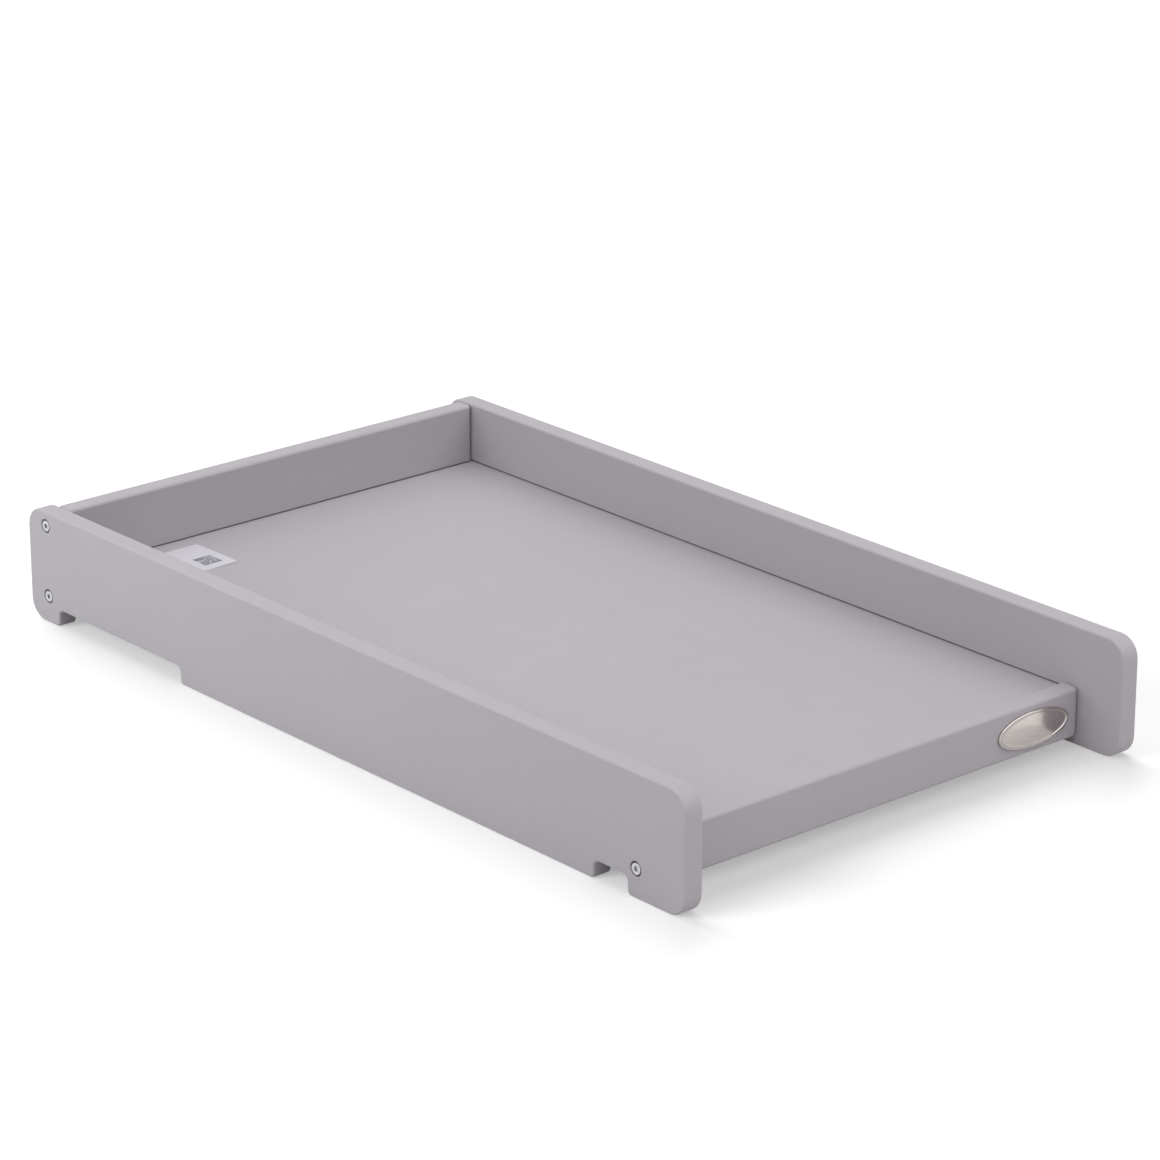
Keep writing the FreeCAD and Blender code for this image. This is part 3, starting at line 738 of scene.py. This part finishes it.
def side_panel_mesh(side, sizes, joints):
    """A side panel: its outline carried over two eased edges, with stepped bolt holes through it.

    u runs along the panel, v up it and w from its outer face inwards. The inner face has the stopped
    groove of the base board and the blind hole of the dowel.
    """
    low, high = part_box(side + "_side_panel")
    thick = high.y - low.y
    outer_y, inwards = (low.y, 1.0) if side == "front" else (high.y, -1.0)
    skin = Skin(lambda p: np.column_stack([p[:, 0], outer_y + inwards * p[:, 2], p[:, 1]]))
    outline = loop_of(rounded_path(panel_outline(low, high, sizes)))
    edge = skin.board_edge(outline, thick, sizes.edge_radius)

    aside, down, wear_and_shade = eased_edge(joints.rim_radius)
    outer_holes, inner_holes = [], []
    for joint in JOINTS:
        bolt = middle(f"bolt_{side}_{joint}")
        seat_low, seat_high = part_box(f"washer_{side}_{joint}")
        floor = abs((seat_high.y if side == "front" else seat_low.y) - outer_y)
        ledge = (joints.bolt_hole - joints.counterbore) / 2
        hole = carried(circle_path(bolt[0], bolt[2], joints.counterbore),
                       np.concatenate([aside, [0, ledge, ledge]]),
                       np.concatenate([down, [floor, floor, thick]]))
        skin.band(hole, np.append(wear_and_shade, np.zeros(3)))
        outer_holes.append(hole[0, :, :2])
        inner_holes.append(hole[-1, :, :2])

    base_low, base_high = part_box("base_board")
    bottom, top = groove_levels(joints)
    bend = (top - bottom) / 2
    start, stop = base_low.x - bend, base_high.x + bend
    slot = rounded_path(rectangle(start, bottom, stop, top, bend - SLOT_SLACK))
    inner_holes.append(skin.sink(loop_of(slot), eased_edge(joints.lip_radius), thick,
                                 thick - joints.groove_depth))

    dowel = middle("dowel_" + side)
    dowel_low, dowel_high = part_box("dowel_" + side)
    dowel_end = dowel_low.y if side == "front" else dowel_high.y
    inner_holes.append(skin.sink(circle_path(dowel[0], dowel[2], joints.dowel_hole), BARE_RIM, thick,
                                 abs(dowel_end - outer_y) - joints.dowel_room))

    skin.flat(edge, outer_holes, at_level(0.0))
    skin.flat(edge, inner_holes, at_level(thick))
    return skin.mesh(side + "_side_panel_paint")


def cross_piece_mesh(node, joint_names, dowelled, sizes, joints):
    """A cross piece: its plan, a rounded rectangle, carried up a profile that has the groove in it.

    u runs from the plain face to the grooved one, v along the piece and w up it. Each step of the
    profile has an inset, a level and a limit: the plan is drawn in along its normals by the inset,
    lifted to the level and held to a u below the limit, which inside the groove is the groove's
    floor. The holes of the barrel nuts are in the face at low x.
    """
    low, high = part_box(node)
    thick, tall, half = high.x - low.x, high.z - low.z, high.y
    groove_ahead = high.x < 0
    plain_x, way = (low.x, 1.0) if groove_ahead else (high.x, -1.0)
    skin = Skin(lambda p: np.column_stack([plain_x + way * p[:, 0], p[:, 1], low.z + p[:, 2]]))

    bottom, top = (level - low.z for level in groove_levels(joints))
    room = tall - top - sizes.edge_radius
    lip = min(joints.lip_radius, LIP_SHARE * room)
    margin = min(MARGIN, (room - lip) / 2)
    floor = thick - joints.groove_depth
    aside, down, wear_and_shade = eased_edge(sizes.edge_radius, margin)
    lip_aside, lip_down, lip_rub = (np.append(part, 0) for part in eased_edge(lip, margin))
    lip_limit = np.append(thick - lip_down[:-1], floor)
    whole = np.full(len(aside), thick)
    inset = np.concatenate([aside, np.zeros(2 * len(lip_aside)), aside[::-1]])
    level = np.concatenate([down, bottom - lip_aside, top + lip_aside[::-1], tall - down[::-1]])
    limit = np.concatenate([whole, lip_limit, lip_limit[::-1], whole])
    worn_and_shaded = np.concatenate([wear_and_shade, lip_rub, lip_rub[::-1], wear_and_shade[::-1]])
    plan = loop_of(rounded_path(rectangle(0, -half, thick, half, sizes.end_radius)))
    rings = carried(plan, -inset, level)
    rings[:, :, 0] = np.minimum(rings[:, :, 0], limit[:, None])

    # Columns of the four runs between the plan's corners, and the rows that bound the flat faces.
    front_run, grooved_run, rear_run, plain_run = (CORNER_STEPS + 1) * np.arange(1, 5) - 1
    first, last = len(aside) - 1, len(level) - len(aside)
    nut_run, nut_last = (plain_run, last) if groove_ahead else (grooved_run, first + 1)
    keep = np.ones((len(level) - 1, len(plan[0])), bool)
    keep[first:last, [front_run, rear_run]] = False
    keep[first:nut_last, nut_run] = False
    skin.band(rings, worn_and_shaded, keep)
    skin.flat(rings[0, :, :2], [], at_level(0.0))
    skin.flat(rings[-1, :, :2], [], at_level(tall))

    def face_loop(run, stop, axes):
        """Edge of a flat face: up the column where a run starts, down the one where it ends."""
        after = (run + 1) % len(plan[0])
        return np.concatenate([rings[first:stop + 1, run], rings[first:stop + 1, after][::-1]])[:, axes]

    def end_hole(away, fitting, diameter, reach):
        """Adds the hole of a fitting to the end on one side, down to that reach, and returns its rim."""
        path = circle_path(way * (fitting[0] - plain_x), fitting[2] - low.z, diameter)
        return skin.sink(path, BARE_RIM, away * half, away * reach, ALONG_V)

    nut_u, nut_rims = (0.0 if groove_ahead else thick), []
    for side, run, away in zip(SIDES, (front_run, rear_run), (-1.0, 1.0)):
        end_rims = []
        for joint in joint_names:
            nut = middle(f"barrel_nut_{side}_{joint}")
            nut_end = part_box(f"barrel_nut_{side}_{joint}")[1].x
            nut_path = circle_path(nut[1], nut[2] - low.z, joints.nut_hole)
            nut_rims.append(skin.sink(nut_path, eased_edge(joints.rim_radius), nut_u,
                                      way * (nut_end - plain_x), ALONG_U))
            reach = abs(nut[1]) + joints.nut_hole / 2 + joints.bore_web
            end_rims.append(end_hole(away, middle(f"bolt_{side}_{joint}"), joints.bolt_hole, reach))
        if dowelled:
            reach = min(abs(corner.y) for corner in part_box("dowel_" + side)) - joints.dowel_room
            end_rims.append(end_hole(away, middle("dowel_" + side), joints.dowel_hole, reach))
        skin.flat(face_loop(run, last, [0, 2]), end_rims, at_level(away * half, ALONG_V))
    skin.flat(face_loop(nut_run, nut_last, [1, 2]), nut_rims, at_level(nut_u, ALONG_U))
    return skin.mesh(node + "_paint")


def base_board_mesh(joints):
    """The base board: a rectangle carried over two eased edges, u and v across it and w up."""
    low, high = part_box("base_board")
    skin = Skin(lambda p: p + np.array([0, 0, low.z]))
    thick, bend = high.z - low.z, joints.base_radius
    outline = loop_of(rounded_path(rectangle(low.x, low.y, high.x, high.y, bend)))
    edge = skin.board_edge(outline, thick, bend / 2)
    skin.flat(edge, [], at_level(0.0))
    skin.flat(edge, [], at_level(thick))
    return skin.mesh("base_board_paint")


def bolt_mesh(side, joint, fittings):
    """A socket-head bolt: rings about its axis whose radius depends on the turn as well as the height.

    Up the shank the radius follows a triangle wave of (height / pitch - turn / a full turn), which is
    the thread. Round the head it follows a triangle wave of the turn, the knurl. In the socket it is
    half the width across flats divided by the cosine of the turn from the nearest flat, a hexagon.
    """
    node = f"bolt_{side}_{joint}"
    low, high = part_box(node)
    x, _, z = middle(node)
    outwards = -1.0 if side == "front" else 1.0
    seat = (low.y + fittings.head_height) if side == "front" else (high.y - fittings.head_height)
    skin = Skin(lambda p: np.column_stack([x + p[:, 0], seat + outwards * p[:, 2], z + p[:, 1]]))

    turn = full_turn(BOLT_STEPS)
    shank, head, tall = fittings.shank_diameter / 2, fittings.head_diameter / 2, fittings.head_height
    tip = tall - (high.y - low.y)
    pitch, depth, chamfer = fittings.thread_pitch, fittings.thread_depth, fittings.head_chamfer

    rise = np.arange(0, fittings.thread_length + pitch / 2, pitch / THREAD_STEPS)
    phase = (rise[:, None] / pitch - turn / (2 * np.pi)) % 1.0
    ramp = np.clip(np.minimum(rise, fittings.thread_length - rise) / pitch, 0, 1)[:, None]
    thread = shank - depth * ramp * np.abs(2 * phase - 1)
    thread[0] = thread[0] - chamfer

    knurl = fittings.knurl_depth * (np.arange(BOLT_STEPS) % 2)
    flat_turn = (turn + np.pi / SOCKET_SIDES) % (2 * np.pi / SOCKET_SIDES) - np.pi / SOCKET_SIDES
    socket = fittings.socket_width / 2 / np.cos(flat_turn)
    floor = tall - fittings.socket_depth

    # Each ring has a radius, one for the whole turn or one for each step, and a level from the seat.
    outside = [
        (0, tip), *zip(thread, tip + rise), (shank, -chamfer / 2), (shank, 0),
        (head - chamfer / 2, 0), (head - knurl, chamfer / 2), (head - knurl, tall - chamfer),
        (head - chamfer, tall), (socket + chamfer / 4, tall),
    ]
    inside = [(socket, tall - chamfer / 4), (socket, floor), (0, floor - chamfer)]
    rings = [np.column_stack([radius * np.cos(turn), radius * np.sin(turn), np.full(BOLT_STEPS, level)])
             for radius, level in outside + inside]
    # The socket's walls and floor are marked with one, which paints shade into the socket.
    skin.band(np.stack(rings), np.repeat([0.0, 1.0], [len(outside), len(inside)]))
    return skin.mesh(node + "_steel")


def washer_mesh(side, joint, fittings):
    """A stamped washer: a rounded rectangle as section, turned about the bolt's axis."""
    node = f"washer_{side}_{joint}"
    low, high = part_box(node)
    x, _, z = middle(node)
    skin = Skin(lambda p: np.column_stack([x + p[:, 0], p[:, 2], z + p[:, 1]]))
    outer, bore, bend = (high.x - low.x) / 2, fittings.washer_bore / 2, fittings.washer_radius
    section = loop_of(rounded_path(rectangle(bore, low.y, outer, high.y, bend)))[0]
    section = np.concatenate([section, section[:1]])
    flat = section[:, None, :1] * circle_path(0, 0, 1)[1]
    level = np.broadcast_to(section[:, None, 1:], flat.shape[:2] + (1,))
    skin.band(np.concatenate([flat, level], axis=2))
    return skin.mesh(node + "_steel")


def badge_mesh(badge):
    """The oval badge: an ellipse carried over a raised rim, then drawn in to the middle of a low dome.

    Over the rim each ring is the ellipse moved inwards along its normal. On the field the innermost of
    these rings is scaled by s from one to nought, and its height is floor + rise * (1 - s * s).
    """
    low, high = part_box("oval_badge")
    _, y, z = middle("oval_badge")
    skin = Skin(lambda p: np.column_stack([low.x + p[:, 2], y + p[:, 0], z + p[:, 1]]))
    half_long, half_wide, tall = (high.y - low.y) / 2, (high.z - low.z) / 2, high.x - low.x
    turn = full_turn(BADGE_STEPS)
    oval = np.stack([half_long * np.cos(turn), half_wide * np.sin(turn)], axis=1)
    normals = unit(np.stack([np.cos(turn) / half_long, np.sin(turn) / half_wide], axis=1))
    aside, down = (part[1:-1] for part in eased_edge(badge.rim_radius)[:2])
    floor = tall - badge.field_depth
    inset = np.concatenate([[0], aside[::-1], badge.rim_width - aside, [badge.rim_width + MARGIN]])
    level = np.concatenate([[0], tall - down[::-1], tall - down, [floor]])
    rings = carried((oval, normals), -inset, level)
    # The foot and the rim carry polish and painted shade; the field carries neither.
    skin.band(rings, np.concatenate([[FOOT_POLISH_AND_SHADE], np.ones(2 * len(aside)), [0]]))
    size = np.linspace(1, 0, DOME_STEPS + 1)[:, None, None]
    field = rings[-1:, :, :2] * size
    dome = np.broadcast_to(floor + badge.dome_rise * (1 - size * size), field.shape[:2] + (1,))
    skin.band(np.concatenate([field, dome], axis=2))
    back = rings[:1] * np.array([1.0, 0.0])[:, None, None]
    skin.band(back)
    return skin.mesh("oval_badge_nickel")


def label_mesh(label):
    """The paper label: its outline drawn in to the middle on both faces, one corner lifted.

    The lift is lift * t * t, where t is one at that corner and falls evenly to nought at the line
    between the middles of the two edges that meet there.
    """
    low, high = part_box("paper_label")
    centre = middle("paper_label")
    skin = Skin(lambda p: p)
    bend = label.corner_radius
    outline = loop_of(rounded_path(rectangle(low.x, low.y, high.x, high.y, bend)))[0]
    size = np.linspace(0, 1, LABEL_RINGS + 1)[:, None, None]
    face = centre[:2] + (outline[None] - centre[:2]) * size
    towards = (face - centre[:2]) / (np.array(high)[:2] - centre[:2])
    curl = np.clip(towards.sum(-1, keepdims=True) - 1.0, 0, 1)
    lift = label.lift * curl * curl
    under = np.concatenate([face, low.z + lift], axis=2)
    upper = np.concatenate([face, high.z + lift], axis=2)
    skin.band(np.concatenate([under, upper[::-1]]))
    return skin.mesh("paper_label_sheet")


class CHANGER_OT_side_panels(Operator):
    """Makes the front and rear side panels"""

    bl_idname = "changer.side_panels"
    bl_label = "Side panels"

    def execute(self, context):
        scene = context.scene
        paint = shared_material(satin_paint, scene.changer_finishes)
        for side in SIDES:
            mesh = side_panel_mesh(side, scene.changer_panels, scene.changer_joints)
            finish_piece("painted", side + "_side_panel", mesh, paint)
        return {"FINISHED"}


class CHANGER_OT_cross_pieces(Operator):
    """Makes the end panel and the open end rail"""

    bl_idname = "changer.cross_pieces"
    bl_label = "End panel and rail"

    def execute(self, context):
        scene = context.scene
        paint = shared_material(satin_paint, scene.changer_finishes)
        pieces = (("end_panel", JOINTS[:2], True), ("open_end_rail", JOINTS[2:], False))
        for node, joint_names, dowelled in pieces:
            mesh = cross_piece_mesh(node, joint_names, dowelled, scene.changer_cross_pieces,
                                    scene.changer_joints)
            finish_piece("painted", node, mesh, paint)
        return {"FINISHED"}


class CHANGER_OT_base_board(Operator):
    """Makes the base board"""

    bl_idname = "changer.base_board"
    bl_label = "Base board"

    def execute(self, context):
        scene = context.scene
        paint = shared_material(satin_paint, scene.changer_finishes)
        finish_piece("painted", "base_board", base_board_mesh(scene.changer_joints), paint)
        return {"FINISHED"}


class CHANGER_OT_bolts(Operator):
    """Makes the socket-head bolts"""

    bl_idname = "changer.bolts"
    bl_label = "Bolts"

    def execute(self, context):
        scene = context.scene
        steel = shared_material(plated_steel, scene.changer_finishes)
        for side, joint in BOLTED:
            mesh = bolt_mesh(side, joint, scene.changer_fittings)
            finish_piece("steel", f"bolt_{side}_{joint}", mesh, steel)
        return {"FINISHED"}


class CHANGER_OT_washers(Operator):
    """Makes the washers under the bolts' heads"""

    bl_idname = "changer.washers"
    bl_label = "Washers"

    def execute(self, context):
        scene = context.scene
        zinc = shared_material(dull_zinc, scene.changer_finishes)
        for side, joint in BOLTED:
            mesh = washer_mesh(side, joint, scene.changer_fittings)
            finish_piece("steel", f"washer_{side}_{joint}", mesh, zinc)
        return {"FINISHED"}


class CHANGER_OT_barrel_nuts(Operator):
    """Finishes the barrel nuts"""

    bl_idname = "changer.barrel_nuts"
    bl_label = "Barrel nuts"

    def execute(self, context):
        steel = shared_material(plated_steel, context.scene.changer_finishes)
        for side, joint in BOLTED:
            dress_node(f"barrel_nut_{side}_{joint}", steel)
        return {"FINISHED"}


class CHANGER_OT_dowels(Operator):
    """Finishes the dowels"""

    bl_idname = "changer.dowels"
    bl_label = "Dowels"

    def execute(self, context):
        wood = shared_material(beech_wood, context.scene.changer_finishes)
        for side in SIDES:
            dress_node("dowel_" + side, wood)
        return {"FINISHED"}


class CHANGER_OT_oval_badge(Operator):
    """Makes the bare oval badge on the rail"""

    bl_idname = "changer.oval_badge"
    bl_label = "Oval badge"

    def execute(self, context):
        scene = context.scene
        nickel = shared_material(brushed_nickel, scene.changer_finishes)
        finish_piece("nickel", "oval_badge", badge_mesh(scene.changer_badge), nickel)
        return {"FINISHED"}


class CHANGER_OT_paper_label(Operator):
    """Makes the paper label on the base board"""

    bl_idname = "changer.paper_label"
    bl_label = "Paper label"

    def execute(self, context):
        scene = context.scene
        paper = printed_paper(scene.changer_finishes, scene.changer_label, middle("paper_label"))
        finish_piece("printed", "paper_label", label_mesh(scene.changer_label), paper)
        return {"FINISHED"}


def seen_directly(tree):
    """One for camera, glossy and transmission rays, else nought."""
    rays = tree.nodes.new("ShaderNodeLightPath").outputs
    mirrored = math_of(tree, "MAXIMUM", rays["Is Glossy Ray"], rays["Is Transmission Ray"])
    return math_of(tree, "MAXIMUM", rays["Is Camera Ray"], mirrored)


def pale_floor(name, tint, lift):
    """Matt floor, with some white added where it is seen."""
    material, tree, shader, coords = new_material(name)
    drift = spread_to(tree, noise(tree, coords, cells=4.0), MOST, WHOLE)
    set_inputs(tree, shader, Base_Color=mixed(tree, drift, scaled(tint, 1.0 - FLOOR_DRIFT), tint),
               Roughness=1.0, Specular_IOR_Level=0.0, Emission_Color=WHITE,
               Emission_Strength=math_of(tree, "MULTIPLY", seen_directly(tree), lift))
    return material


def add_floor(name, size, level, material):
    """A square floor at that level."""
    half = size / 2
    corners = [(-half, -half, level), (half, -half, level), (half, half, level), (-half, half, level)]
    mesh = bpy.data.meshes.new(name)
    mesh.from_pydata(corners, [], [(0, 1, 2, 3)])
    mesh.materials.append(material)
    floor = bpy.data.objects.new(name, mesh)
    bpy.context.scene.collection.objects.link(floor)
    return floor


def light_world(stage):
    """Even light from all round, white where it is seen."""
    world = bpy.data.worlds.new("studio")
    world.use_nodes = True
    tree = world.node_tree
    set_inputs(tree, tree.nodes["Background"], Color=WHITE,
               Strength=spread_to(tree, seen_directly(tree), WHOLE, (stage.sky, 1.0)))
    bpy.context.scene.world = world


def add_lamp(name, kind, energy):
    """A lamp of that kind and energy, at the origin."""
    data = bpy.data.lights.new(name, kind)
    data.energy = energy
    lamp = bpy.data.objects.new(name, data)
    bpy.context.scene.collection.objects.link(lamp)
    return lamp


def add_sun(name, energy, spread, lean, azimuth):
    """A far lamp that leans from overhead to the azimuth's side, counted from the front panel's."""
    lamp = add_lamp(name, "SUN", energy)
    lamp.data.angle = spread
    lamp.rotation_euler = (lean, 0.0, azimuth)
    return lamp


def link_floor(lamp, floor, state):
    """Lets a lamp light the floor alone (INCLUDE), or all but the floor (EXCLUDE)."""
    group = bpy.data.collections.new(lamp.name)
    group.objects.link(floor)
    group.collection_objects[0].light_linking.link_state = state
    lamp.light_linking.receiver_collection = group


class CHANGER_OT_stage(Operator):
    """Sets the floor, the light and the camera"""

    bl_idname = "changer.stage"
    bl_label = "Stage"

    def execute(self, context):
        scene = context.scene
        stage = scene.changer_stage
        finishes = scene.changer_finishes

        # One floor is seen, and has lamps of its own. One just below it throws light back at the object.
        shown = pale_floor("pale_floor", finishes.floor_seen, stage.floor_lift)
        floor = add_floor("floor", stage.floor_size, 0.0, shown)
        floor.visible_diffuse = False
        floor.visible_shadow = False
        unlifted = pale_floor("lit_floor", finishes.floor, 0.0)
        lit = add_floor("lit_floor", stage.floor_size, -stage.floor_drop, unlifted)
        lit.visible_camera = False
        lit.visible_glossy = False
        lit.visible_transmission = False

        light_world(stage)
        near = add_sun("near_lamp", stage.near, stage.lamp_spread, stage.near_lean, stage.near_azimuth)
        rear = add_sun("rear_lamp", stage.rear, stage.lamp_spread, stage.rear_lean, stage.rear_azimuth)
        far = add_sun("far_lamp", stage.far, stage.lamp_spread, stage.far_lean, stage.far_azimuth)
        side = add_sun("side_floor_lamp", stage.side, stage.side_spread, stage.side_lean,
                       stage.side_azimuth)
        front = add_sun("front_floor_lamp", stage.front, stage.front_spread, stage.front_lean,
                        stage.front_azimuth)
        fill = add_lamp("soft_box", "AREA", stage.fill)
        fill.data.color = stage.fill_colour
        fill.data.size = stage.fill_size
        fill.location = stage.fill_place
        fill.rotation_mode = "QUATERNION"
        facing = Vector(stage.fill_aim) - Vector(stage.fill_place)
        fill.rotation_quaternion = facing.to_track_quat("-Z", "Y")
        fill.visible_camera = False
        fill.visible_glossy = False
        for lamp in (side, front):
            link_floor(lamp, floor, "INCLUDE")
        for lamp in (near, rear, far, fill):
            link_floor(lamp, floor, "EXCLUDE")

        turn, rise = stage.view_azimuth, stage.view_elevation
        back = Vector((math.sin(turn) * math.cos(rise), -math.cos(turn) * math.cos(rise), math.sin(rise)))
        data = bpy.data.cameras.new("camera")
        data.lens = stage.lens
        camera = bpy.data.objects.new("camera", data)
        camera.location = Vector(stage.view_aim) + back * stage.view_distance
        camera.rotation_mode = "QUATERNION"
        camera.rotation_quaternion = (-back).to_track_quat("-Z", "Y")
        scene.collection.objects.link(camera)
        scene.camera = camera
        scene.view_settings.view_transform = "Standard"
        return {"FINISHED"}


OPERATORS = (
    CHANGER_OT_side_panels,
    CHANGER_OT_cross_pieces,
    CHANGER_OT_base_board,
    CHANGER_OT_bolts,
    CHANGER_OT_washers,
    CHANGER_OT_barrel_nuts,
    CHANGER_OT_dowels,
    CHANGER_OT_oval_badge,
    CHANGER_OT_paper_label,
    CHANGER_OT_stage,
)


class VIEW3D_PT_changer(Panel):
    """Lists the pieces of the changer with their sizes"""

    bl_label = "Cot top changer"
    bl_space_type = "VIEW_3D"
    bl_region_type = "UI"
    bl_category = "Changer"

    def draw(self, context):
        for operator in OPERATORS:
            self.layout.operator(operator.bl_idname)
        for name, group in GROUPS.items():
            box = self.layout.box()
            box.label(text=group.__doc__.rstrip("."))
            for field in group.__annotations__:
                box.prop(getattr(context.scene, name), field)


CLASSES = (*GROUPS.values(), *OPERATORS, VIEW3D_PT_changer)


def register():
    """Registers the classes and hangs the property groups on the scene."""
    for item in CLASSES:
        bpy.utils.register_class(item)
    for name, group in GROUPS.items():
        setattr(bpy.types.Scene, name, PointerProperty(type=group))


def unregister():
    """Takes the property groups and the classes away again."""
    for name in GROUPS:
        delattr(bpy.types.Scene, name)
    for item in reversed(CLASSES):
        bpy.utils.unregister_class(item)


def main():
    """Makes every piece and the stage."""
    register()
    bpy.ops.changer.side_panels()
    bpy.ops.changer.cross_pieces()
    bpy.ops.changer.base_board()
    bpy.ops.changer.bolts()
    bpy.ops.changer.washers()
    bpy.ops.changer.barrel_nuts()
    bpy.ops.changer.dowels()
    bpy.ops.changer.oval_badge()
    bpy.ops.changer.paper_label()
    bpy.ops.changer.stage()


if __name__ == "__main__":
    main()
